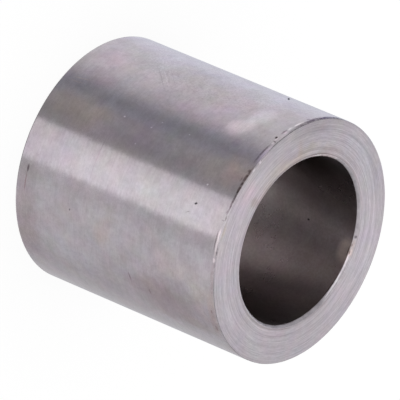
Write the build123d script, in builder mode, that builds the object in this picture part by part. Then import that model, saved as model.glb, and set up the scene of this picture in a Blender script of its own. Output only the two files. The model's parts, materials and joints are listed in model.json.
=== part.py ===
from build123d import *

import os

# Plain spacer sleeve, turned from steel bar and bored through, in one piece.
#
# The sleeve stands on its lower end face, with its bore along Z and the origin at the
# centre of that face. It is slid onto a shaft between two other parts and holds them one
# sleeve length apart, so both end faces are flat and square to the bore.
#
# All sizes are in millimetres.

# Driving dimensions: the shaft sets the bore, and the load on the end faces sets the wall
bore_diameter = 20.0
wall_thickness = 4.5
sleeve_length = 30.0
# The outer corners are only deburred: a break of this width along the face and the side
outer_edge_break = 0.12
# The bore mouths have a small lead-in, so that the shaft starts without scoring
bore_lead_in = 0.25

bore_radius = bore_diameter / 2

# One wall in section, on the XZ plane, turned once about Z
with BuildPart() as sleeve:
    with BuildSketch(Plane.XZ) as wall_section:
        with Locations((bore_radius, 0)):
            Rectangle(wall_thickness, sleeve_length, align=(Align.MIN, Align.MIN))
        corners = wall_section.vertices().group_by(Axis.X)
        chamfer(corners[0], bore_lead_in)
        chamfer(corners[-1], outer_edge_break)
    revolve(axis=Axis.Z)

sleeve.part.label = "sleeve"

os.makedirs("parts", exist_ok=True)
export_step(sleeve.part, "parts/sleeve.step")
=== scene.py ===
import json
import math

import bpy
from mathutils import Matrix, Vector


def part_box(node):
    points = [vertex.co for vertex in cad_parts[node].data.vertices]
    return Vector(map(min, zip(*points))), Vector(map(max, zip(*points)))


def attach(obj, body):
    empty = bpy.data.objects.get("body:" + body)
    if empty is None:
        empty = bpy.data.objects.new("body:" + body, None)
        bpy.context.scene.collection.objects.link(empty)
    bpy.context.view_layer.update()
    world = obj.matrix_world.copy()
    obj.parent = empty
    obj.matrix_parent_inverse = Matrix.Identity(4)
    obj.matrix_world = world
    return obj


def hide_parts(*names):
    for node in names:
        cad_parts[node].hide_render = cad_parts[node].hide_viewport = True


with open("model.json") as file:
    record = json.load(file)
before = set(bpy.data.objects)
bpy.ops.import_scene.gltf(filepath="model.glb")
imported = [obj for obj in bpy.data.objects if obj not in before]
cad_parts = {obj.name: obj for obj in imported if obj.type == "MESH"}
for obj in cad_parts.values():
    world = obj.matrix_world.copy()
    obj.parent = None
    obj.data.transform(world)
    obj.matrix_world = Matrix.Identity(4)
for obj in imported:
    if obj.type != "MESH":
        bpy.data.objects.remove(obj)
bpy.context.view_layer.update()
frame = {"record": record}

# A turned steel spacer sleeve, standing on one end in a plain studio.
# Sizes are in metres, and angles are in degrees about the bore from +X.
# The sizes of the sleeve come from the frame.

MM = 0.001
HALF = 0.5
FULL_TURN = 360.0
WHITE = (1.0, 1.0, 1.0)

# Sizes of the sleeve, read from the frame
mounts = {mount["name"]: mount["dims"] for mount in frame["record"]["mounts"] if mount["dims"]}
outer_radius = mounts["outer_wall"]["r_mm"] * MM
bore_radius = mounts["bore"]["r_mm"] * MM
sleeve_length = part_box("sleeve")[1].z
edge_break = (sleeve_length - mounts["outer_wall"]["length_mm"] * MM) / 2
lead_in = (sleeve_length - mounts["bore"]["length_mm"] * MM) / 2

# Camera: the view of the photograph, about the middle of the sleeve
view_elevation = 36.18
view_roll = 112.92
view_distance = 1.1001
view_lens = 879.3
view_sensor = 36.0
centre_right_of_aim = 0.033 * MM
centre_above_aim = 0.071 * MM


# Small helpers for node trees

def add_node(tree, kind, inputs=None, **settings):
    """A node with its settings, and its inputs set to a value or linked to a socket."""
    node = tree.nodes.new(kind)
    for name, value in settings.items():
        setattr(node, name, value)
    for key, value in (inputs or {}).items():
        if isinstance(value, bpy.types.NodeSocket):
            tree.links.new(value, node.inputs[key])
        else:
            node.inputs[key].default_value = value
    return node


def calc(tree, operation, first, second=0.0, third=0.0):
    """One Math node's result."""
    node = add_node(tree, "ShaderNodeMath", {0: first, 1: second, 2: third}, operation=operation)
    return node.outputs[0]


def vector_calc(tree, operation, inputs):
    """One Vector Math node's result: a number for a length or a distance, or else a vector."""
    node = add_node(tree, "ShaderNodeVectorMath", inputs, operation=operation)
    is_number = operation in ("LENGTH", "DISTANCE")
    return node.outputs["Value" if is_number else "Vector"]


def vector_of(tree, x=0.0, y=0.0, z=0.0):
    return add_node(tree, "ShaderNodeCombineXYZ", {0: x, 1: y, 2: z}).outputs[0]


def parts_of(tree, vector):
    return add_node(tree, "ShaderNodeSeparateXYZ", {0: vector}).outputs


def gap_between(tree, first, second):
    """How far apart two numbers are."""
    return calc(tree, "ABSOLUTE", calc(tree, "SUBTRACT", first, second))


def from_axis(tree, x, y):
    """Distance from the axis of the bore."""
    return calc(tree, "SQRT", calc(tree, "ADD", calc(tree, "MULTIPLY", x, x), calc(tree, "MULTIPLY", y, y)))


def ramp_value(tree, value, low, high, to_low=0.0, to_high=1.0, shape="SMOOTHSTEP"):
    """value moved from the range low to high into the range to_low to to_high, and held there."""
    node = add_node(
        tree,
        "ShaderNodeMapRange",
        {0: value, 1: low, 2: high, 3: to_low, 4: to_high},
        interpolation_type=shape,
    )
    return node.outputs[0]


def spread(tree, noise, reach, to_low=0.0, to_high=1.0):
    """Noise moved from within reach of its middle into the range to_low to to_high."""
    return ramp_value(tree, noise, HALF - reach, HALF + reach, to_low, to_high)


def blend_colour(tree, factor, first, second, mode="MIX"):
    """Two colours blended by a factor. A plain colour is given as (r, g, b)."""
    node = tree.nodes.new("ShaderNodeMix")
    node.data_type = "RGBA"
    node.blend_type = mode
    for key, value in ((0, factor), (6, first), (7, second)):
        if isinstance(value, bpy.types.NodeSocket):
            tree.links.new(value, node.inputs[key])
        elif isinstance(value, tuple):
            node.inputs[key].default_value = (*value, 1.0)
        else:
            node.inputs[key].default_value = value
    return node.outputs[2]


def add_object(name, data):
    """An object in the scene, made of a mesh or a camera."""
    added = bpy.data.objects.new(name, data)
    bpy.context.scene.collection.objects.link(added)
    return added


def empty_material(name):
    """A material whose node tree is still empty, and that tree."""
    material = bpy.data.materials.new(name)
    material.use_nodes = True
    material.node_tree.nodes.clear()
    return material, material.node_tree


# The sleeve's form: a wall section with tool rings on its end faces, turned about the bore

steps_around = 400
form_seed = 3.0
face_ring_pitch = 0.28 * MM
face_ring_depth = 0.003 * MM
# How far deburring by hand wanders at an outer corner, and how far from the corner that reaches
edge_wear = 0.03 * MM
edge_zone = 0.5 * MM
# Full wear reaches this many edge breaks from the corner
full_wear_share = 1.2
# The front part of the outer wall, whose nicks, painted highlights and painted shade have a finish of their
# own
rim_zone = 1.2 * MM
# The front corners, as shares of the frame's edge break and lead-in
front_break_share = 0.6
front_lead_share = 1.18
# The angle at which the front lead-in is deepest, and by what share of the frame's lead-in
deep_side = 45.0
deeper_share = 0.38
# How far a broken corner bulges in its middle, as a share of its width
corner_bulge = 0.1
mouth_bulge = 0.03
# A short run of the bored wall beside each lead-in, which holds the wall's shading
corner_hold = 0.06 * MM
# Where the front lead-in is deeper, the wall moves with it for this many of those runs
moved_runs = 1.5
# How fine the wear of the front corner is around the sleeve
wear_scale = 9.0
# Points closer than this are one point, and a face is level to within it
same_place = 1e-7
# How close to a wall or a face of the section its own mesh faces lie
wall_gap = 0.02 * MM
face_gap = 0.01 * MM


def make_turning_tree(materials):
    """A node tree that turns the wall section about Z. Its inputs are the sizes of the section."""
    tree = bpy.data.node_groups.new("turned_sleeve", "GeometryNodeTree")
    names = (
        "Outer Radius",
        "Bore Radius",
        "Length",
        "Edge Break",
        "Lead In",
        "Ring Pitch",
        "Ring Depth",
        "Edge Wear",
    )
    for name in names:
        tree.interface.new_socket(name, in_out="INPUT", socket_type="NodeSocketFloat")
    tree.interface.new_socket("Steps Around", in_out="INPUT", socket_type="NodeSocketInt")
    tree.interface.new_socket("Seed", in_out="INPUT", socket_type="NodeSocketFloat")
    tree.interface.new_socket("Geometry", in_out="OUTPUT", socket_type="NodeSocketGeometry")
    given = tree.nodes.new("NodeGroupInput").outputs
    outer, bore, length, chamfer, lead, pitch, depth, wear = (given[name] for name in names)

    def minus(first, second):
        return calc(tree, "SUBTRACT", first, second)

    def plus(first, second):
        return calc(tree, "ADD", first, second)

    def times(first, second):
        return calc(tree, "MULTIPLY", first, second)

    # The corners of the section as (radius, height), and how many steps run from each to the next
    mid_lead = times(lead, HALF - corner_bulge)
    mid_chamfer = times(chamfer, HALF - corner_bulge)
    front_break = times(chamfer, front_break_share)
    mid_front = times(front_break, HALF - corner_bulge)
    front_lead = times(lead, front_lead_share)
    mid_mouth_in = times(lead, HALF - mouth_bulge)
    mid_mouth_down = times(front_lead, HALF - mouth_bulge)
    corners = (
        (plus(bore, lead), 0.0, 56),
        (minus(outer, chamfer), 0.0, 2),
        (minus(outer, mid_chamfer), mid_chamfer, 2),
        (outer, chamfer, 5),
        (outer, edge_zone, 20),
        (outer, minus(length, rim_zone), 2),
        (outer, minus(length, edge_zone), 5),
        (outer, minus(length, front_break), 2),
        (minus(outer, mid_front), minus(length, mid_front), 2),
        (minus(outer, front_break), length, 86),
        (plus(bore, lead), length, 2),
        (plus(bore, mid_mouth_in), minus(length, mid_mouth_down), 2),
        (bore, minus(length, front_lead), 1),
        (bore, minus(length, plus(front_lead, corner_hold)), 12),
        (bore, plus(lead, corner_hold), 1),
        (bore, lead, 2),
        (plus(bore, mid_lead), mid_lead, 2),
    )
    joined = tree.nodes.new("GeometryNodeJoinGeometry")
    for here, there in zip(corners, corners[1:] + corners[:1]):
        run = add_node(
            tree,
            "GeometryNodeMeshLine",
            {
                "Count": here[2] + 1,
                "Start Location": vector_of(tree, here[0], here[1]),
                "Offset": vector_of(tree, there[0], there[1]),
            },
            mode="END_POINTS",
            count_mode="TOTAL",
        )
        tree.links.new(run.outputs[0], joined.inputs[0])
    closed = add_node(
        tree,
        "GeometryNodeMergeByDistance",
        {"Geometry": joined.outputs[0], "Distance": same_place},
    )
    section = add_node(tree, "GeometryNodeMeshToCurve", {"Mesh": closed.outputs[0]})
    place = tree.nodes.new("GeometryNodeInputPosition").outputs[0]
    kept_section = tree.nodes.new("GeometryNodeCaptureAttribute")
    kept_section.capture_items.new("VECTOR", "Section")
    tree.links.new(section.outputs[0], kept_section.inputs["Geometry"])
    tree.links.new(place, kept_section.inputs["Section"])

    # Each step around keeps its part of the turn, and carries a copy of the section
    circle = add_node(
        tree,
        "GeometryNodeCurvePrimitiveCircle",
        {"Resolution": given["Steps Around"], "Radius": outer},
    )
    kept_turn = tree.nodes.new("GeometryNodeCaptureAttribute")
    kept_turn.capture_items.new("FLOAT", "Turn")
    tree.links.new(circle.outputs[0], kept_turn.inputs["Geometry"])
    step = tree.nodes.new("GeometryNodeInputIndex").outputs[0]
    tree.links.new(calc(tree, "DIVIDE", step, given["Steps Around"]), kept_turn.inputs["Turn"])
    swept = add_node(
        tree,
        "GeometryNodeCurveToMesh",
        {"Curve": kept_turn.outputs["Geometry"], "Profile Curve": kept_section.outputs["Geometry"]},
    )
    radius, height, _ = parts_of(tree, kept_section.outputs["Section"])
    angle = times(kept_turn.outputs["Turn"], 2 * math.pi)
    toward_x = calc(tree, "COSINE", angle)
    toward_y = calc(tree, "SINE", angle)

    # Rings left by the facing tool: shallow arcs side by side, below the face, of uneven depth
    in_ring = calc(tree, "FRACT", calc(tree, "DIVIDE", minus(radius, bore), pitch))
    off_middle = minus(in_ring, HALF)
    arc = minus(1.0, times(times(off_middle, off_middle), 4.0))
    across_rings = plus(calc(tree, "DIVIDE", radius, times(pitch, 2.0)), given["Seed"])
    ring_noise = add_node(
        tree,
        "ShaderNodeTexNoise",
        {"Vector": vector_of(tree, toward_x, toward_y, across_rings), "Scale": 1.0, "Detail": 1.0},
    )
    cut = times(times(arc, depth), spread(tree, ring_noise.outputs[0], 0.15))
    on_top = calc(tree, "GREATER_THAN", height, minus(length, same_place))
    on_bottom = calc(tree, "LESS_THAN", height, same_place)
    face_shift = times(cut, minus(on_bottom, on_top))

    # Deburring by hand leaves the front outer corner a little uneven
    corner_gap = vector_calc(
        tree,
        "DISTANCE",
        {0: vector_of(tree, radius, height), 1: vector_of(tree, outer, length)},
    )
    near_corner = ramp_value(tree, corner_gap, times(chamfer, full_wear_share), edge_zone, 1.0, 0.0)
    wear_place = vector_of(tree, toward_x, toward_y, given["Seed"])
    wear_noise = add_node(
        tree,
        "ShaderNodeTexNoise",
        {"Vector": wear_place, "Scale": wear_scale, "Detail": 4.0},
    )
    rub = times(times(near_corner, wear), wear_noise.outputs[0])

    # The lead-in at the front mouth was cut a little off centre, and is deeper on one side
    deep_turn = math.radians(deep_side)
    toward_deep = plus(times(toward_x, math.cos(deep_turn)), times(toward_y, math.sin(deep_turn)))
    down_lead = ramp_value(tree, radius, bore, plus(bore, lead), 1.0, 0.0, "LINEAR")
    mouth_depth = plus(front_lead, moved_runs * corner_hold)
    at_front_mouth = calc(tree, "GREATER_THAN", height, minus(length, mouth_depth))
    most_deeper = times(times(lead, deeper_share), toward_deep)
    deeper = times(times(down_lead, at_front_mouth), most_deeper)

    new_radius = minus(radius, rub)
    new_height = minus(plus(height, face_shift), plus(rub, deeper))
    new_place = vector_of(tree, times(new_radius, toward_x), times(new_radius, toward_y), new_height)
    shaped = add_node(
        tree,
        "GeometryNodeSetPosition",
        {"Geometry": swept.outputs[0], "Position": new_place},
    )
    smooth = add_node(
        tree,
        "GeometryNodeSetShadeSmooth",
        {"Geometry": shaped.outputs[0], "Shade Smooth": True},
    )

    # The faces of each region, told apart by where they lie on the section
    outside = calc(tree, "GREATER_THAN", radius, minus(outer, face_gap))
    near_front = calc(tree, "GREATER_THAN", height, minus(length, rim_zone))
    front_rim = times(outside, near_front)
    inside = calc(tree, "LESS_THAN", radius, plus(bore, wall_gap))
    on_front_face = calc(tree, "GREATER_THAN", height, minus(length, face_gap))
    on_rear_face = calc(tree, "LESS_THAN", height, face_gap)
    on_face = calc(tree, "MAXIMUM", on_front_face, on_rear_face)
    flow = add_node(tree, "GeometryNodeRealizeInstances", {"Geometry": smooth.outputs[0]})
    regions = (
        ("edges", True),
        ("side", outside),
        ("rim", front_rim),
        ("face", on_face),
        ("bore", inside),
    )
    for region, chosen in regions:
        flow = add_node(
            tree,
            "GeometryNodeSetMaterial",
            {"Geometry": flow.outputs[0], "Selection": chosen, "Material": materials[region]},
        )
    out = tree.nodes.new("NodeGroupOutput")
    tree.links.new(flow.outputs[0], out.inputs["Geometry"])
    return tree


def make_sleeve(materials):
    """The sleeve as one plain closed mesh, in the place of the CAD node."""
    tree = make_turning_tree(materials)
    holder = add_object("sleeve_form", bpy.data.meshes.new("sleeve_form"))
    turning = holder.modifiers.new("turning", "NODES")
    turning.node_group = tree
    values = {
        "Outer Radius": outer_radius,
        "Bore Radius": bore_radius,
        "Length": sleeve_length,
        "Edge Break": edge_break,
        "Lead In": lead_in,
        "Ring Pitch": face_ring_pitch,
        "Ring Depth": face_ring_depth,
        "Edge Wear": edge_wear,
        "Steps Around": steps_around,
        "Seed": form_seed,
    }
    for item in tree.interface.items_tree:
        if item.in_out == "INPUT":
            turning[item.identifier] = values[item.name]
    depsgraph = bpy.context.evaluated_depsgraph_get()
    mesh = bpy.data.meshes.new_from_object(holder.evaluated_get(depsgraph), depsgraph=depsgraph)
    mesh.name = "turned_sleeve"
    holder.modifiers.clear()
    bpy.data.objects.remove(holder)
    return add_object("turned_sleeve", mesh)


# Finishes of the steel

# The two colours between which the steel of each region wanders, and its roughness from and to
side_colours = ((0.545, 0.50, 0.52), (0.575, 0.53, 0.56))
face_colours = ((0.455, 0.423, 0.448), (0.65, 0.606, 0.642))
bore_colours = ((0.33, 0.285, 0.286), (0.365, 0.319, 0.322))
edge_colours = ((0.46, 0.43, 0.45), (0.60, 0.57, 0.59))
side_roughness = (0.15, 0.20)
face_roughness = (0.30, 0.42)
bore_roughness = (0.27, 0.31)
edge_roughness = (0.24, 0.34)
# The lead-in at the mouths of the bore is rougher than the outer corners, and its colour is painted
# brighter as a painted highlight
mouth_painted_highlight = (1.25, 1.25, 1.25)
mouth_roughness = 0.2
# How strongly the steel of each region is brushed
side_brushing = 0.8
face_brushing = 0.8
bore_brushing = 0.85
edge_brushing = 0.4
# How the brushed look is turned, as a part of a full turn, to run around the bore
brush_turn = 0.25
# The part of a stain or a mark, from its middle out, that has its full tint
side_stain_core = 0.3
face_stain_core = 0.2
mark_core = 0.35
# How far an oval on the front face reaches along the axis, so that the rings don't cut it
face_oval_depth = 4 * MM
# How weakly the dark marks of a corner and the dark rings of a face show in places
weakest_mark = 0.45
weakest_ring = 0.3


def new_steel(name, anisotropic):
    """A material with one bare metal shader, whose brushed look runs around the bore."""
    material = bpy.data.materials.new(name)
    material.use_nodes = True
    tree = material.node_tree
    shader = tree.nodes["Principled BSDF"]
    shader.inputs["Metallic"].default_value = 1.0
    shader.inputs["Anisotropic"].default_value = anisotropic
    shader.inputs["Anisotropic Rotation"].default_value = brush_turn
    return material, tree, shader


def object_place(tree):
    return tree.nodes.new("ShaderNodeTexCoord").outputs["Object"]


def polar_place(tree):
    """Distance from the axis, angle about it in degrees from 0 to 360, and height."""
    x, y, z = parts_of(tree, object_place(tree))
    turn = calc(tree, "MULTIPLY", calc(tree, "ARCTAN2", y, x), 180 / math.pi)
    return from_axis(tree, x, y), calc(tree, "WRAP", turn, FULL_TURN, 0.0), z


def noise_at(tree, vector, size, detail=2.0, roughness=0.5, output=0):
    """Noise from 0 to 1 whose spots are about size across, in metres. Output 1 is a colour of it."""
    return add_node(
        tree,
        "ShaderNodeTexNoise",
        {"Vector": vector, "Scale": 1.0 / size, "Detail": detail, "Roughness": roughness},
    ).outputs[output]


def turning_lines(tree, along, across, detail, shift=0.0):
    """Lines that run around the bore on walls and faces alike, about across wide and along long."""
    x, y, z = parts_of(tree, object_place(tree))
    section = calc(tree, "ADD", from_axis(tree, x, y), z)
    stretched = vector_of(
        tree,
        calc(tree, "DIVIDE", x, along),
        calc(tree, "DIVIDE", y, along),
        calc(tree, "ADD", calc(tree, "DIVIDE", section, across), shift),
    )
    return noise_at(tree, stretched, 1.0, detail)


def shaken_place(tree, size, reach):
    """The place on the object, pushed about by noise, so that stains and marks get uneven outlines."""
    place = object_place(tree)
    noise = noise_at(tree, place, size, 3.0, 0.6, output=1)
    centred = vector_calc(tree, "SUBTRACT", {0: noise, 1: (HALF, HALF, HALF)})
    push = vector_calc(tree, "SCALE", {0: centred, 3: reach})
    return vector_calc(tree, "ADD", {0: place, 1: push})


def soft_oval(tree, place, centre, rotation, reach, core):
    """1 in the core of an oval about its centre and 0 past its reach along its own three axes."""
    local = add_node(
        tree,
        "ShaderNodeMapping",
        {"Vector": place, "Location": centre, "Rotation": rotation, "Scale": reach},
        vector_type="TEXTURE",
    )
    away = vector_calc(tree, "LENGTH", {0: local.outputs[0]})
    return ramp_value(tree, away, core, 1.0, 1.0, 0.0)


def wall_oval(tree, place, height, angle, half_height, half_arc, core, tilt=0.0, radius=outer_radius):
    """An oval on a wall of the sleeve, at that distance from the axis. Lengths are in mm."""
    turn = math.radians(angle)
    centre = (radius * math.cos(turn), radius * math.sin(turn), height * MM)
    reach = (max(half_arc, half_height) * MM, half_arc * MM, half_height * MM)
    return soft_oval(tree, place, centre, (math.radians(tilt), 0.0, turn), reach, core)


def face_oval(tree, place, angle, middle, half_width, half_arc):
    """An oval on the front face, with its middle that far from the axis. Lengths are in mm."""
    turn = math.radians(angle)
    centre = (middle * MM * math.cos(turn), middle * MM * math.sin(turn), sleeve_length)
    reach = (half_width * MM, half_arc * MM, face_oval_depth)
    return soft_oval(tree, place, centre, (0.0, 0.0, turn), reach, face_stain_core)


def tinted(tree, colour, mask, tint):
    """The colour times the tint where the mask is 1."""
    return blend_colour(tree, mask, colour, tint, "MULTIPLY")


def layered(tree, colour, layers):
    """The colour times each layer's tint where its noise is high. A layer is noise, reach and tint."""
    for noise, reach, tint in layers:
        colour = tinted(tree, colour, spread(tree, noise, reach), tint)
    return colour


def drifted(tree, colour, size, amount):
    """The colour with a faint cast that wanders over the steel: green, pink and blue by turns."""
    noise = noise_at(tree, object_place(tree), size, 1.5, 0.5, output=1)
    # Doubled, the noise is 1 in the middle, and only shifts the colour
    return tinted(tree, colour, amount, vector_calc(tree, "SCALE", {0: noise, 3: 2.0}))


def bumped(tree, height, strength, distance, under=None):
    """The direction of a surface with a small relief, over another relief where there is one."""
    inputs = {"Height": height, "Strength": strength, "Distance": distance}
    if under is not None:
        inputs["Normal"] = under
    return add_node(tree, "ShaderNodeBump", inputs).outputs[0]


# In the lists below lengths are in mm and angles in degrees, and a tint multiplies the steel's colour

# Soft stains on the outer wall: height, angle, half height, half arc, tint
side_stains = (
    (22.8, 325.0, 8.2, 4.2, (0.87, 0.825, 0.825)),
    (25.5, 334.0, 4.8, 1.6, (0.91, 0.90, 0.86)),
    (20.0, 321.5, 4.2, 2.0, (0.96, 0.91, 0.93)),
    (7.6, 318.5, 5.2, 3.4, (1.05, 1.08, 1.075)),
    (1.6, 313.5, 2.5, 7.2, (0.88, 0.83, 0.82)),
    (1.4, 289.0, 2.6, 4.0, (0.90, 0.89, 0.89)),
    (28.8, 298.0, 2.6, 3.0, (1.12, 1.12, 1.12)),
    (28.2, 312.0, 2.6, 3.2, (1.06, 1.05, 0.99)),
    (23.5, 303.5, 3.4, 2.2, (1.09, 1.08, 1.05)),
    (13.2, 301.0, 2.0, 2.8, (1.05, 1.01, 0.96)),
    (26.8, 254.6, 6.0, 2.9, (1.08, 1.04, 0.99)),
    (28.4, 252.0, 2.6, 2.6, (1.12, 1.04, 1.00)),
    (5.0, 254.0, 6.0, 2.9, (1.10, 1.05, 0.98)),
    (7.4, 252.0, 2.0, 1.6, (1.05, 1.04, 1.01)),
    (15.0, 254.0, 5.0, 2.8, (0.98, 0.955, 1.01)),
    (9.2, 259.6, 4.0, 1.7, (1.09, 1.06, 1.09)),
    (21.8, 255.5, 2.4, 1.9, (0.99, 0.94, 0.96)),
    (3.0, 274.5, 6.0, 3.0, (0.895, 0.88, 0.89)),
    (13.0, 272.0, 3.0, 2.4, (1.05, 1.05, 1.04)),
    (18.8, 274.0, 2.2, 1.7, (0.99, 1.01, 0.98)),
    (28.3, 240.5, 2.2, 2.2, (1.10, 1.08, 1.09)),
    (14.5, 232.0, 5.6, 1.9, (0.95, 0.93, 0.96)),
    (4.8, 235.0, 3.2, 2.2, (0.97, 0.92, 0.97)),
    (23.0, 204.0, 1.8, 3.4, (1.06, 1.08, 1.11)),
    (21.5, 218.0, 4.0, 2.6, (1.04, 1.00, 1.03)),
    (20.0, 231.0, 7.0, 3.0, (1.04, 0.99, 1.03)),
    (3.5, 222.0, 3.4, 3.4, (1.06, 1.01, 1.04)),
    (8.8, 207.0, 2.4, 3.6, (1.04, 1.05, 1.07)),
    (14.6, 207.0, 3.2, 3.6, (0.93, 0.93, 0.93)),
    (1.4, 200.0, 1.6, 4.0, (0.92, 0.91, 0.90)),
)

# Rubbed and knocked spots on the outer wall: height, angle, half height, half arc, tilt, tint
side_marks = (
    (24.35, 231.4, 2.30, 1.75, 45.0, (1.40, 1.38, 1.39)),
    (25.70, 239.4, 0.80, 0.90, 0.0, (0.92, 0.88, 0.94)),
    (25.25, 220.0, 1.65, 2.60, -8.0, (1.28, 1.29, 1.30)),
    (24.60, 208.0, 1.20, 2.00, 0.0, (1.08, 1.08, 1.09)),
    (25.28, 272.4, 0.30, 0.14, 30.0, (0.05, 0.05, 0.06)),
    (24.60, 277.2, 0.40, 0.08, 35.0, (0.72, 0.70, 0.70)),
    (8.23, 297.7, 0.15, 0.15, 0.0, (0.46, 0.46, 0.49)),
    (23.00, 191.6, 1.00, 0.17, -54.0, (0.24, 0.24, 0.25)),
    (17.05, 319.0, 0.15, 0.80, 12.0, (0.71, 0.66, 0.68)),
    (19.86, 323.5, 0.15, 0.50, 10.0, (0.74, 0.69, 0.70)),
    (1.38, 287.0, 0.20, 0.62, 0.0, (0.42, 0.38, 0.41)),
    (1.32, 293.5, 0.12, 1.60, 0.0, (0.75, 0.64, 0.64)),
    (10.22, 270.5, 0.11, 3.20, 0.0, (0.92, 0.88, 0.90)),
    (10.76, 248.9, 0.18, 0.13, 20.0, (1.80, 1.80, 1.80)),
    (15.63, 244.5, 0.14, 0.12, 0.0, (1.50, 1.50, 1.50)),
    (14.81, 248.7, 0.16, 0.12, 40.0, (1.55, 1.55, 1.55)),
    (19.74, 244.8, 0.14, 0.12, 0.0, (1.50, 1.50, 1.50)),
    (14.14, 258.4, 0.15, 0.12, 0.0, (1.50, 1.50, 1.50)),
    (25.64, 262.8, 0.17, 0.12, 50.0, (1.80, 1.80, 1.80)),
    (10.90, 220.1, 3.40, 0.10, -39.6, (1.13, 1.13, 1.15)),
    (10.50, 221.6, 3.20, 0.09, -39.6, (0.85, 0.84, 0.85)),
    (11.60, 218.6, 2.60, 0.08, -41.0, (0.90, 0.89, 0.91)),
    (2.50, 239.5, 1.60, 0.10, 8.0, (1.16, 1.10, 1.02)),
    (2.20, 242.0, 1.40, 0.09, 5.0, (1.14, 1.07, 1.02)),
)

# Nicks, burrs and dark places along the front outer corner, as the marks above. The bright tints are
# painted highlights: glints on chips, on the burr and along the edge. The wide dark band from 188 to 214
# degrees and the dark strip just below the burr are painted shade.
rim_marks_and_painted_light = (
    (29.80, 188.5, 0.44, 1.40, 0.0, (0.55, 0.55, 0.57)),
    (29.78, 196.0, 0.46, 2.20, 0.0, (0.48, 0.47, 0.52)),
    (29.78, 205.0, 0.44, 2.20, 0.0, (0.54, 0.52, 0.55)),
    (29.82, 213.5, 0.38, 2.00, 0.0, (0.60, 0.58, 0.60)),
    (29.84, 199.5, 0.16, 0.80, 0.0, (0.84, 0.82, 0.92)),
    (29.82, 206.6, 0.16, 0.36, 0.0, (0.66, 0.64, 0.67)),
    (29.82, 214.6, 0.16, 0.60, 0.0, (0.74, 0.70, 0.73)),
    (29.88, 220.5, 0.24, 1.00, 0.0, (0.70, 0.69, 0.71)),
    (29.50, 212.4, 0.14, 0.44, 0.0, (1.30, 1.29, 1.29)),
    (29.46, 215.2, 0.17, 0.75, 0.0, (1.60, 1.58, 1.57)),
    (29.42, 220.0, 0.16, 0.50, 0.0, (1.42, 1.41, 1.40)),
    (29.30, 207.4, 0.18, 0.34, 0.0, (0.66, 0.64, 0.67)),
    (29.30, 223.6, 0.19, 0.76, 0.0, (0.62, 0.56, 0.59)),
    (29.58, 223.6, 0.15, 0.40, 0.0, (1.34, 1.22, 1.28)),
    (29.48, 229.6, 0.14, 0.50, 0.0, (1.34, 1.30, 1.31)),
    (29.28, 228.7, 0.20, 0.30, 0.0, (0.10, 0.08, 0.08)),
    (29.60, 232.4, 0.26, 0.28, 0.0, (1.34, 1.30, 1.32)),
    (29.60, 231.1, 0.36, 0.12, -12.0, (0.50, 0.46, 0.48)),
    (29.42, 239.2, 0.17, 2.05, 0.0, (0.50, 0.45, 0.49)),
    (29.80, 239.0, 0.36, 2.10, 0.0, (1.62, 1.52, 1.60)),
    (29.80, 250.6, 0.20, 1.10, 0.0, (0.60, 0.56, 0.56)),
    (29.62, 249.8, 0.28, 0.24, 14.0, (0.56, 0.52, 0.53)),
    (29.76, 254.0, 0.26, 1.30, 0.0, (0.44, 0.40, 0.40)),
    (29.78, 258.4, 0.25, 1.00, 0.0, (0.36, 0.31, 0.30)),
    (29.74, 260.6, 0.13, 0.20, 0.0, (0.30, 0.26, 0.26)),
    (29.36, 254.6, 0.14, 0.36, 0.0, (0.74, 0.70, 0.70)),
    (29.79, 265.4, 0.20, 1.65, 0.0, (0.44, 0.39, 0.41)),
    (29.70, 270.6, 0.24, 0.44, 0.0, (0.70, 0.66, 0.68)),
    (29.84, 273.4, 0.14, 0.40, 0.0, (0.66, 0.63, 0.64)),
    (29.58, 274.6, 0.28, 0.12, 8.0, (0.72, 0.70, 0.72)),
    (29.44, 284.0, 0.10, 1.70, 0.0, (0.62, 0.58, 0.58)),
    (29.66, 280.6, 0.15, 0.90, 0.0, (1.42, 1.38, 1.35)),
    (29.71, 285.6, 0.23, 1.05, 0.0, (1.75, 1.72, 1.68)),
    (29.72, 289.6, 0.17, 0.80, 0.0, (1.36, 1.33, 1.30)),
    (29.72, 292.9, 0.20, 0.38, 0.0, (1.60, 1.56, 1.53)),
    (29.95, 288.6, 0.10, 0.62, 0.0, (0.42, 0.39, 0.40)),
    (29.90, 295.0, 0.10, 0.60, 0.0, (0.76, 0.73, 0.74)),
    (29.72, 303.0, 0.36, 3.00, 0.0, (0.88, 0.84, 0.84)),
    (29.40, 318.0, 0.90, 2.40, 0.0, (1.02, 0.96, 0.93)),
    (29.36, 319.4, 0.14, 0.34, 0.0, (0.74, 0.68, 0.68)),
    (29.36, 329.4, 0.26, 0.60, 0.0, (0.78, 0.72, 0.74)),
    (29.30, 328.0, 0.90, 2.20, 0.0, (0.96, 0.92, 0.90)),
)

# Height in mm from which the marks of the rim also reach the broken corner
corner_start = 29.88
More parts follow.
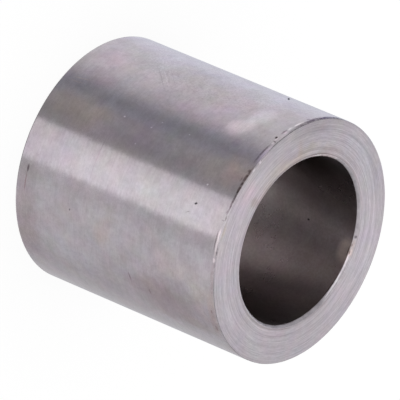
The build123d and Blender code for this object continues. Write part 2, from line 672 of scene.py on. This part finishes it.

# Places on the lead-in at the front mouth of the bore, as the marks above. The bright tints are painted
# highlights, a glint along the lip; the darker tints are dull lines and flecks beside it.
mouth_marks_and_painted_glint = (
    (29.74, 67.5, 0.10, 1.30, -3.0, (1.60, 1.56, 1.57)),
    (29.74, 75.5, 0.11, 1.25, -3.0, (1.70, 1.66, 1.68)),
    (29.73, 83.5, 0.10, 1.10, 0.0, (1.24, 1.22, 1.23)),
    (29.72, 91.0, 0.10, 0.90, 0.0, (1.50, 1.44, 1.42)),
    (29.90, 82.0, 0.12, 2.40, 0.0, (0.82, 0.81, 0.82)),
    (29.96, 90.0, 0.12, 2.60, 0.0, (0.80, 0.79, 0.80)),
    (29.84, 96.0, 0.34, 0.65, 0.0, (1.20, 1.10, 1.03)),
    (29.84, 101.5, 0.34, 0.80, 0.0, (0.86, 0.79, 0.74)),
    (29.84, 111.0, 0.40, 1.50, 0.0, (0.80, 0.79, 0.80)),
    (29.72, 96.0, 0.09, 0.40, 0.0, (0.50, 0.43, 0.40)),
    (29.74, 101.0, 0.08, 0.30, 0.0, (0.56, 0.49, 0.46)),
    (29.90, 106.6, 0.22, 0.24, 0.0, (0.34, 0.32, 0.34)),
    (29.90, 193.0, 0.50, 3.60, 0.0, (1.46, 1.37, 1.32)),
    (29.90, 225.0, 0.50, 3.20, 0.0, (1.02, 0.95, 0.90)),
    (29.90, 262.0, 0.50, 5.50, 0.0, (0.90, 0.83, 0.82)),
    (29.90, 338.0, 0.50, 3.40, 0.0, (1.60, 1.55, 1.55)),
)

# Tones and marks on the bored wall, as the marks above. The large soft tones are painted light and painted
# shade across the bore, the bright one just inside the mouth is a painted reflection, the small dark spot
# at 105.5 degrees is a mark, and two thin lines by the mouth are darker.
bore_marks_and_painted_light = (
    (22.99, 105.5, 0.24, 0.16, 0.0, (0.15, 0.15, 0.15)),
    (29.20, 96.0, 1.60, 1.90, 0.0, (1.85, 1.78, 1.62)),
    (17.50, 69.0, 8.50, 4.20, 0.0, (1.40, 1.40, 1.40)),
    (18.50, 89.0, 7.50, 2.40, 0.0, (1.12, 1.11, 1.11)),
    (23.00, 108.5, 8.00, 2.80, 0.0, (0.77, 0.76, 0.76)),
    (17.00, 112.0, 6.00, 2.60, 0.0, (0.90, 0.90, 0.90)),
    (24.50, 158.0, 4.00, 3.60, 0.0, (0.70, 0.67, 0.63)),
    (22.50, 148.0, 5.00, 4.20, 0.0, (0.74, 0.74, 0.72)),
    (29.50, 96.5, 0.09, 0.70, 0.0, (0.40, 0.36, 0.34)),
    (29.54, 70.0, 0.12, 1.90, 0.0, (0.55, 0.53, 0.53)),
)

# The scuffed part of the outer wall: height, angle, half height, half arc, and the tint of its specks
scuffed_part = (15.0, 202.0, 17.0, 8.5)
scuffed_core = 0.5
scuffed_tint = (0.86, 0.85, 0.86)


def with_marks(tree, colour, marks, place, radius=outer_radius, strength=1.0):
    """The colour with each mark's tint over it. Only dark marks fade with the strength."""
    for height, angle, half_height, half_arc, tilt, tint in marks:
        spot = wall_oval(tree, place, height, angle, half_height, half_arc, mark_core, tilt, radius)
        if tint[0] < 1.0:
            spot = calc(tree, "MULTIPLY", spot, strength)
        colour = tinted(tree, colour, spot, tint)
    return colour


def uneven_strength(tree):
    """How strongly the marks of a corner show from place to place."""
    noise = noise_at(tree, object_place(tree), 0.3 * MM, 3.0)
    return ramp_value(tree, noise, 0.34, 0.52, weakest_mark, 1.0)


def side_material(name, stains, marks):
    """The ground outer wall with its stains and marks. On the rim the marks are also painted highlights and
    painted shade.
    """
    material, tree, shader = new_steel(name, side_brushing)
    place = object_place(tree)
    tone = noise_at(tree, place, 6 * MM, 4.0, 0.6)
    cloud = noise_at(tree, place, 1.5 * MM, 3.0, 0.6)
    mottle = noise_at(tree, place, 0.55 * MM, 2.0, 0.6)
    grain = noise_at(tree, place, 0.26 * MM, 1.0)
    lines = turning_lines(tree, 2.0 * MM, 0.16 * MM, 3.0)
    layers = (
        (cloud, 0.2, (1.09, 1.09, 1.09)),
        (mottle, 0.2, (0.925, 0.925, 0.925)),
        (grain, 0.2, (0.955, 0.955, 0.955)),
        (lines, 0.15, (0.95, 0.95, 0.95)),
    )
    colour = layered(tree, blend_colour(tree, spread(tree, tone, 0.18), *side_colours), layers)
    colour = drifted(tree, colour, 2.2 * MM, 0.065)
    scuffed = wall_oval(tree, place, *scuffed_part, scuffed_core)
    speckle = ramp_value(tree, noise_at(tree, place, 0.2 * MM, 2.0), 0.42, 0.62)
    colour = tinted(tree, colour, calc(tree, "MULTIPLY", scuffed, speckle), scuffed_tint)
    stained = shaken_place(tree, 2.4 * MM, 2.6 * MM)
    for height, angle, half_height, half_arc, tint in stains:
        spot = wall_oval(tree, stained, height, angle, half_height, half_arc, side_stain_core)
        colour = tinted(tree, colour, spot, tint)
    marked = shaken_place(tree, 0.5 * MM, 0.16 * MM)
    strength = 1.0 if marks is side_marks else uneven_strength(tree)
    # On the rim, wear holds painted highlights and painted shade as well as nicks
    wear = with_marks(tree, WHITE, marks, marked, strength=strength)
    tree.links.new(tinted(tree, colour, 1.0, wear), shader.inputs["Base Color"])
    # Dull and dark marks keep their tint where they are seen from the side, and so do the painted
    # highlights and painted shade of the rim
    tree.links.new(wear, shader.inputs["Specular Tint"])
    tree.links.new(spread(tree, lines, 0.2, *side_roughness), shader.inputs["Roughness"])
    fine = bumped(tree, lines, 0.2, 0.003 * MM)
    tree.links.new(bumped(tree, mottle, 0.5, 0.006 * MM, fine), shader.inputs["Normal"])
    return material


# Darker rings on the end faces: radius, half width, tint
face_rings = (
    (10.40, 0.25, (0.84, 0.82, 0.81)),
    (11.18, 0.22, (0.91, 0.91, 0.91)),
    (12.28, 0.22, (0.94, 0.94, 0.94)),
    (13.20, 0.20, (0.91, 0.91, 0.92)),
    (13.55, 0.12, (0.94, 0.94, 0.94)),
    (14.04, 0.16, (0.94, 0.94, 0.94)),
    (14.36, 0.22, (0.92, 0.92, 0.92)),
)

# Soft stains on the front face: angle, distance from the axis, half width, half arc, tint. The bright spots
# at 243.7 and 248.5 degrees and the thin bright line at 256 degrees, by the outer edge, are painted
# highlights.
face_stains_and_painted_highlights = (
    (222.0, 10.7, 1.1, 6.5, (1.04, 1.00, 0.92)),
    (250.0, 10.6, 0.7, 3.0, (1.03, 1.00, 0.94)),
    (188.0, 10.8, 0.9, 3.2, (1.00, 0.96, 0.94)),
    (215.5, 11.6, 1.3, 0.9, (0.98, 0.93, 0.86)),
    (206.5, 11.3, 0.8, 1.4, (0.93, 0.97, 0.93)),
    (209.0, 13.3, 1.6, 4.6, (0.93, 0.935, 0.92)),
    (204.0, 13.8, 1.2, 5.0, (0.92, 0.905, 0.91)),
    (103.0, 11.6, 1.6, 2.4, (1.02, 1.00, 1.05)),
    (157.0, 12.4, 1.6, 4.2, (0.97, 1.00, 1.02)),
    (15.0, 11.0, 0.6, 2.6, (1.02, 0.96, 0.98)),
    (33.0, 13.8, 0.8, 1.6, (0.96, 1.00, 1.00)),
    (262.0, 12.6, 2.2, 3.5, (1.05, 1.01, 1.02)),
    (257.0, 12.8, 1.4, 2.4, (1.04, 0.98, 1.01)),
    (296.0, 12.4, 1.6, 1.8, (1.03, 0.99, 1.02)),
    (306.0, 13.2, 1.0, 2.4, (1.00, 1.02, 1.03)),
    (260.0, 11.0, 0.8, 0.7, (0.86, 0.82, 0.80)),
    (279.5, 14.2, 0.35, 1.3, (1.04, 1.00, 0.90)),
    (243.7, 14.42, 0.34, 0.30, (1.85, 1.85, 1.87)),
    (248.5, 14.45, 0.28, 0.42, (1.75, 1.74, 1.75)),
    (256.0, 14.46, 0.14, 1.40, (1.12, 1.11, 1.11)),
)

# Parts of a ring on the front face: distance from the axis, half width, angle, half angle, tint
face_arcs = (
    (10.35, 0.09, 222.0, 46.0, (0.82, 0.78, 0.74)),
    (10.66, 0.12, 222.0, 30.0, (1.09, 1.07, 1.03)),
    (10.42, 0.12, 355.0, 45.0, (0.86, 0.85, 0.83)),
    (10.70, 0.12, 0.0, 50.0, (1.10, 1.07, 1.07)),
    (10.24, 0.13, 32.0, 40.0, (1.13, 1.12, 1.12)),
    (10.58, 0.14, 20.0, 30.0, (1.06, 1.06, 1.06)),
    (10.50, 0.24, 150.0, 42.0, (1.06, 1.05, 1.05)),
    (10.52, 0.22, 282.0, 20.0, (0.92, 0.92, 0.93)),
    (10.56, 0.12, 345.0, 18.0, (0.91, 0.91, 0.92)),
    (10.46, 0.09, 352.0, 22.0, (0.88, 0.87, 0.87)),
    (10.32, 0.10, 178.0, 34.0, (0.88, 0.87, 0.86)),
    (10.87, 0.14, 176.0, 28.0, (0.92, 0.91, 0.91)),
    (10.78, 0.16, 226.0, 14.0, (1.08, 1.07, 1.05)),
    (10.54, 0.22, 236.0, 11.0, (1.10, 1.08, 1.05)),
    (11.12, 0.09, 238.0, 16.0, (0.91, 0.89, 0.87)),
    (10.74, 0.36, 274.0, 20.0, (0.93, 0.93, 0.93)),
    (10.62, 0.26, 115.0, 26.0, (1.05, 1.04, 1.04)),
    (11.22, 0.18, 2.0, 44.0, (0.84, 0.83, 0.84)),
    (11.44, 0.22, 284.0, 24.0, (0.88, 0.87, 0.87)),
    (10.62, 0.12, 155.0, 36.0, (1.09, 1.08, 1.08)),
    (10.38, 0.10, 165.0, 46.0, (0.86, 0.83, 0.83)),
    (10.96, 0.28, 184.0, 40.0, (0.85, 0.84, 0.84)),
    (12.15, 0.13, 194.0, 26.0, (0.84, 0.83, 0.84)),
    (13.20, 0.36, 172.0, 44.0, (0.90, 0.91, 0.91)),
    (12.36, 0.16, 345.0, 26.0, (0.88, 0.87, 0.88)),
    (13.70, 0.20, 345.0, 26.0, (0.88, 0.88, 0.88)),
    (11.75, 0.40, 135.0, 34.0, (1.08, 1.09, 1.09)),
    (12.55, 0.44, 135.0, 34.0, (1.08, 1.09, 1.09)),
    (12.60, 0.70, 315.0, 26.0, (1.11, 1.11, 1.11)),
)

# Face stains with a smaller half arc than this are crisp marks, and keep their outlines
crisp_below = 0.5


def arc_mask(tree, radius, turn, middle, half_width, angle, half_angle):
    """1 along the middle of a part of a ring and 0 past its edges."""
    off_ring = gap_between(tree, radius, middle * MM)
    across = ramp_value(tree, off_ring, 0.0, half_width * MM, 1.0, 0.0)
    off = calc(tree, "WRAP", calc(tree, "SUBTRACT", turn, angle), 180.0, -180.0)
    along = ramp_value(tree, calc(tree, "ABSOLUTE", off), half_angle * HALF, half_angle, 1.0, 0.0)
    return calc(tree, "MULTIPLY", across, along)


def face_material():
    """The faced ends with their turning lines, and the arcs, stains and painted highlights of the front
    one.
    """
    material, tree, shader = new_steel("faced_ends_with_painted_highlights", face_brushing)
    radius, turn, height = polar_place(tree)
    rings = turning_lines(tree, 6 * MM, 0.11 * MM, 2.0)
    broad = turning_lines(tree, 5 * MM, 0.6 * MM, 2.0, 5.0)
    flecks = turning_lines(tree, 0.9 * MM, 0.15 * MM, 1.0, 9.0)
    layers = (
        (broad, 0.15, (0.96, 0.96, 0.96)),
        (flecks, 0.15, (0.91, 0.905, 0.91)),
        (noise_at(tree, object_place(tree), 0.22 * MM, 2.0), 0.2, (0.94, 0.94, 0.94)),
        (noise_at(tree, object_place(tree), 0.9 * MM, 3.0), 0.2, (0.98, 0.98, 0.98)),
    )
    colour = layered(tree, blend_colour(tree, spread(tree, rings, 0.2), *face_colours), layers)
    colour = drifted(tree, colour, 2.0 * MM, 0.055)
    for middle, half, tint in face_rings:
        ring = ramp_value(tree, gap_between(tree, radius, middle * MM), 0.0, half * MM, 1.0, 0.0)
        uneven = ramp_value(tree, broad, 0.35, 0.6, weakest_ring, 1.0)
        colour = tinted(tree, colour, calc(tree, "MULTIPLY", ring, uneven), tint)
    front = calc(tree, "GREATER_THAN", height, sleeve_length * HALF)
    for middle, half_width, angle, half_angle, tint in face_arcs:
        part = arc_mask(tree, radius, turn, middle, half_width, angle, half_angle)
        colour = tinted(tree, colour, calc(tree, "MULTIPLY", part, front), tint)
    stained = shaken_place(tree, 2.0 * MM, 1.5 * MM)
    # Among these are painted highlights by the outer edge
    for angle, middle, half_width, half_arc, tint in face_stains_and_painted_highlights:
        place = object_place(tree) if half_arc <= crisp_below else stained
        spot = face_oval(tree, place, angle, middle, half_width, half_arc)
        colour = tinted(tree, colour, spot, tint)
    tree.links.new(colour, shader.inputs["Base Color"])
    tree.links.new(spread(tree, rings, 0.2, *face_roughness), shader.inputs["Roughness"])
    tree.links.new(bumped(tree, rings, 0.6, 0.006 * MM), shader.inputs["Normal"])
    return material


def bore_material():
    """The bored wall, darker than the outside, with painted light and painted shade over it."""
    material, tree, shader = new_steel("bored_wall_with_painted_light", bore_brushing)
    place = object_place(tree)
    stain = noise_at(tree, place, 4 * MM, 4.0, 0.6)
    colour = blend_colour(tree, spread(tree, stain, 0.15), *bore_colours)
    colour = drifted(tree, colour, 2.2 * MM, 0.07)
    layers = (
        (noise_at(tree, place, 1.1 * MM, 3.0, 0.6), 0.2, (0.93, 0.93, 0.93)),
        (noise_at(tree, place, 0.28 * MM, 2.0, 0.6), 0.2, (0.87, 0.87, 0.87)),
    )
    colour = layered(tree, colour, layers)
    # Painted light and painted shade: the large soft tones of the list, and a painted reflection inside the
    # mouth
    colour = with_marks(tree, colour, bore_marks_and_painted_light, place, bore_radius)
    tree.links.new(colour, shader.inputs["Base Color"])
    tree.links.new(spread(tree, stain, 0.2, *bore_roughness), shader.inputs["Roughness"])
    return material


def edge_material(corner_marks_and_painted_light):
    """The broken outer corners and the lead-ins of the bore, with painted highlights and painted shade from
    the marks of the rim and the mouth.
    """
    material, tree, shader = new_steel("broken_edges_with_painted_light", edge_brushing)
    rub = noise_at(tree, object_place(tree), 0.9 * MM, 4.0)
    radius, _, _ = polar_place(tree)
    at_mouth = calc(tree, "LESS_THAN", radius, (outer_radius + bore_radius) / 2)
    colour = blend_colour(tree, spread(tree, rub, 0.2), *edge_colours)
    # Painted highlight: the lead-ins are painted brighter
    colour = tinted(tree, colour, at_mouth, mouth_painted_highlight)
    marked = shaken_place(tree, 0.4 * MM, 0.12 * MM)
    strength = uneven_strength(tree)
    # The corner's bright tints are painted highlights, and its wide dark band is painted shade
    colour = with_marks(tree, colour, corner_marks_and_painted_light, marked, strength=strength)
    # The mouth list's bright tints are a painted glint along the lip
    colour = with_marks(tree, colour, mouth_marks_and_painted_glint, marked, bore_radius + lead_in * HALF, strength)
    tree.links.new(colour, shader.inputs["Base Color"])
    rough = spread(tree, rub, 0.2, *edge_roughness)
    rough = calc(tree, "ADD", rough, calc(tree, "MULTIPLY", at_mouth, mouth_roughness))
    tree.links.new(rough, shader.inputs["Roughness"])
    return material


# The studio

# What the metal mirrors around it: compass angle in degrees from +X and brightness of the wall there
surroundings = (
    (0, 0.65),
    (22, 0.575),
    (42, 0.575),
    (57, 0.60),
    (67, 0.615),
    (77, 0.60),
    (87, 0.65),
    (97, 0.77),
    (108, 0.765),
    (121, 0.92),
    (145, 0.905),
    (162, 0.865),
    (180, 0.82),
    (191, 0.725),
    (200, 0.58),
    (208, 0.41),
    (214, 0.325),
    (218, 0.305),
    (223, 0.365),
    (234, 0.405),
    (247, 0.355),
    (257.5, 0.40),
    (260.5, 0.85),
    (268, 0.96),
    (278, 1.07),
    (294, 1.10),
    (297.5, 0.66),
    (311, 0.65),
    (313.5, 0.73),
    (336, 0.715),
    (360, 0.65),
)
wall_tint = (1.0, 0.99, 1.02)
# Sides of the studio with a cooler cast: compass angle and half width
cool_sides = ((115, 50), (217, 14))
cool_tint = (0.97, 1.0, 1.08)
# Half width of the full cast in the middle of such a side, as a part of a turn
cool_core = 0.02
# The ceiling has a bright strip over the sleeve, along Y and wider toward the camera, between dim sides
ceiling_colour = (1.21, 1.19, 1.215)
ceiling_far_left = (0.24, 0.24, 0.25)
ceiling_far_right = (0.36, 0.36, 0.37)
strip_middle = 0.03
strip_start = 0.04
strip_end = 0.5
# Toward the camera the distance from the strip counts for this share only, so the strip is wider
strip_share = 0.4
# How high above the horizon the walls have turned into the ceiling
ceiling_start = 0.6
# What the rough and matt surfaces see all around
plain_light = (0.9, 0.9, 0.9)

floor_half = 3.0
floor_colour = (0.9, 0.9, 0.9, 1.0)
# The camera sees the floor's own white for this part, and the shadow of the sleeve for the rest
floor_white_part = 0.85
floor_white_strength = 1.045


def level_ramp(tree, part, levels):
    """Grey levels around the compass, with a stop for each (angle, level). At most 32 stops fit."""
    node = add_node(tree, "ShaderNodeValToRGB", {0: part})
    stops = node.color_ramp.elements
    stops.remove(stops[-1])
    first_angle, first_level = levels[0]
    stops[0].position = first_angle / FULL_TURN
    stops[0].color = (first_level, first_level, first_level, 1.0)
    for angle, level in levels[1:]:
        stops.new(angle / FULL_TURN).color = (level, level, level, 1.0)
    return node.outputs[0]


def make_world():
    """White for the camera, even light for matt surfaces, and the studio for what mirrors it."""
    world = bpy.data.worlds.new("studio")
    bpy.context.scene.world = world
    world.use_nodes = True
    tree = world.node_tree
    tree.nodes.clear()
    toward = tree.nodes.new("ShaderNodeTexCoord").outputs["Generated"]
    x, y, z = parts_of(tree, toward)
    compass = calc(tree, "ARCTAN2", y, x)
    part_turn = calc(tree, "WRAP", calc(tree, "DIVIDE", compass, 2 * math.pi), 1.0, 0.0)
    walls = tinted(tree, level_ramp(tree, part_turn, surroundings), 1.0, wall_tint)
    for middle, reach in cool_sides:
        off = gap_between(tree, part_turn, middle / FULL_TURN)
        cast = ramp_value(tree, off, cool_core, reach / FULL_TURN, 1.0, 0.0)
        walls = tinted(tree, walls, cast, cool_tint)
    widening = ramp_value(tree, y, -0.5, 0.2, strip_share, 1.0)
    off_strip = calc(tree, "MULTIPLY", gap_between(tree, x, strip_middle), widening)
    dim = ramp_value(tree, off_strip, strip_start, strip_end, shape="LINEAR")
    right = ramp_value(tree, x, 0.1, 0.7)
    far_ceiling = blend_colour(tree, right, ceiling_far_left, ceiling_far_right)
    ceiling = blend_colour(tree, dim, ceiling_colour, far_ceiling)
    mirrored = blend_colour(tree, ramp_value(tree, z, 0.0, ceiling_start), walls, ceiling)
    path = tree.nodes.new("ShaderNodeLightPath").outputs
    lit = blend_colour(tree, path["Is Glossy Ray"], plain_light, mirrored)
    seen = blend_colour(tree, path["Is Camera Ray"], lit, WHITE)
    back = add_node(tree, "ShaderNodeBackground", {"Color": seen, "Strength": 1.0})
    add_node(tree, "ShaderNodeOutputWorld", {"Surface": back.outputs[0]})


def make_floor():
    """A wide white floor that keeps a soft shadow. The sleeve doesn't mirror it."""
    mesh = bpy.data.meshes.new("floor")
    sides = ((-1, -1), (1, -1), (1, 1), (-1, 1))
    mesh.from_pydata([(floor_half * x, floor_half * y, 0) for x, y in sides], [], [(0, 1, 2, 3)])
    floor = add_object("floor", mesh)
    material, tree = empty_material("white_floor")
    matt = add_node(tree, "ShaderNodeBsdfDiffuse", {"Color": floor_colour})
    glow = {"Color": (*WHITE, 1.0), "Strength": floor_white_strength}
    white = add_node(tree, "ShaderNodeEmission", glow)
    path = tree.nodes.new("ShaderNodeLightPath").outputs
    part = calc(tree, "MULTIPLY", path["Is Camera Ray"], floor_white_part)
    shown = add_node(tree, "ShaderNodeMixShader", {0: part, 1: matt.outputs[0], 2: white.outputs[0]})
    add_node(tree, "ShaderNodeOutputMaterial", {"Surface": shown.outputs[0]})
    mesh.materials.append(material)
    floor.visible_glossy = False


# The panel below the bore: how deep it lies, its radius, and its strength at the bore and at its edge
panel_depth = 10 * MM
panel_reach = 20 * MM
panel_strength = (1.08, 0.62)
panel_steps = 96

# Brightness of the panel below the bore, by compass angle in degrees about the bore
below_bore = (
    (0, 2.20),
    (13, 2.30),
    (25, 2.30),
    (43, 2.20),
    (67, 1.65),
    (90, 1.18),
    (113, 0.72),
    (137, 0.53),
    (160, 0.56),
    (182, 0.66),
    (204, 0.60),
    (226, 0.42),
    (236, 0.22),
    (250, 0.14),
    (270, 0.16),
    (294, 0.20),
    (308, 0.34),
    (315, 1.25),
    (336, 1.80),
    (360, 2.20),
)


def make_bore_panel():
    """A panel below the floor that only the polished steel sees, through the bore."""
    turns = [2 * math.pi * step / panel_steps for step in range(panel_steps)]
    corners = [
        (panel_reach * math.cos(turn), panel_reach * math.sin(turn), -panel_depth)
        for turn in turns
    ]
    mesh = bpy.data.meshes.new("bore_panel")
    mesh.from_pydata(corners, [], [tuple(range(panel_steps))])
    panel = add_object("bore_panel", mesh)
    material, tree = empty_material("lit_panel")
    radius, turn, _ = polar_place(tree)
    around = level_ramp(tree, calc(tree, "DIVIDE", turn, FULL_TURN), below_bore)
    level = ramp_value(tree, radius, bore_radius, panel_reach, *panel_strength)
    glow = add_node(tree, "ShaderNodeEmission", {"Color": around, "Strength": level})
    add_node(tree, "ShaderNodeOutputMaterial", {"Surface": glow.outputs[0]})
    mesh.materials.append(material)


def make_camera():
    """Looks along +Y and down, then rolls, so that the sleeve lies in the picture as in the photograph."""
    data = bpy.data.cameras.new("camera")
    data.sensor_width = view_sensor
    data.lens = view_lens
    camera = add_object("camera", data)
    tilt = Matrix.Rotation(math.radians(90 - view_elevation), 4, "X")
    turn = tilt @ Matrix.Rotation(math.radians(view_roll), 4, "Z")
    right, above, back = (turn.to_3x3().col[k] for k in range(3))
    middle = Vector((0, 0, sleeve_length / 2))
    aim = middle - right * centre_right_of_aim - above * centre_above_aim
    camera.matrix_world = Matrix.Translation(aim + back * view_distance) @ turn
    data.clip_start = view_distance / 10
    data.clip_end = view_distance * 20
    bpy.context.scene.camera = camera


make_camera()
make_world()
make_floor()
make_bore_panel()

# The rim and its broken corner take only the stains and marks that reach them, or nearly so, with the rim's
# painted highlights and painted shade among the marks
rim_start = (sleeve_length - rim_zone) / MM
stain_margin = 1.0
rim_stains = [stain for stain in side_stains if stain[0] + stain[2] > rim_start - stain_margin]
corner_marks_and_painted_light = [mark for mark in rim_marks_and_painted_light if mark[0] + mark[2] > corner_start]
steels = {
    "side": side_material("ground_side", side_stains, side_marks),
    "rim": side_material("ground_rim_with_painted_light", rim_stains, rim_marks_and_painted_light),
    "face": face_material(),
    "bore": bore_material(),
    "edges": edge_material(corner_marks_and_painted_light),
}
sleeve = make_sleeve(steels)
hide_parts("sleeve")
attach(sleeve, "root")

bpy.context.scene.view_settings.view_transform = "Standard"
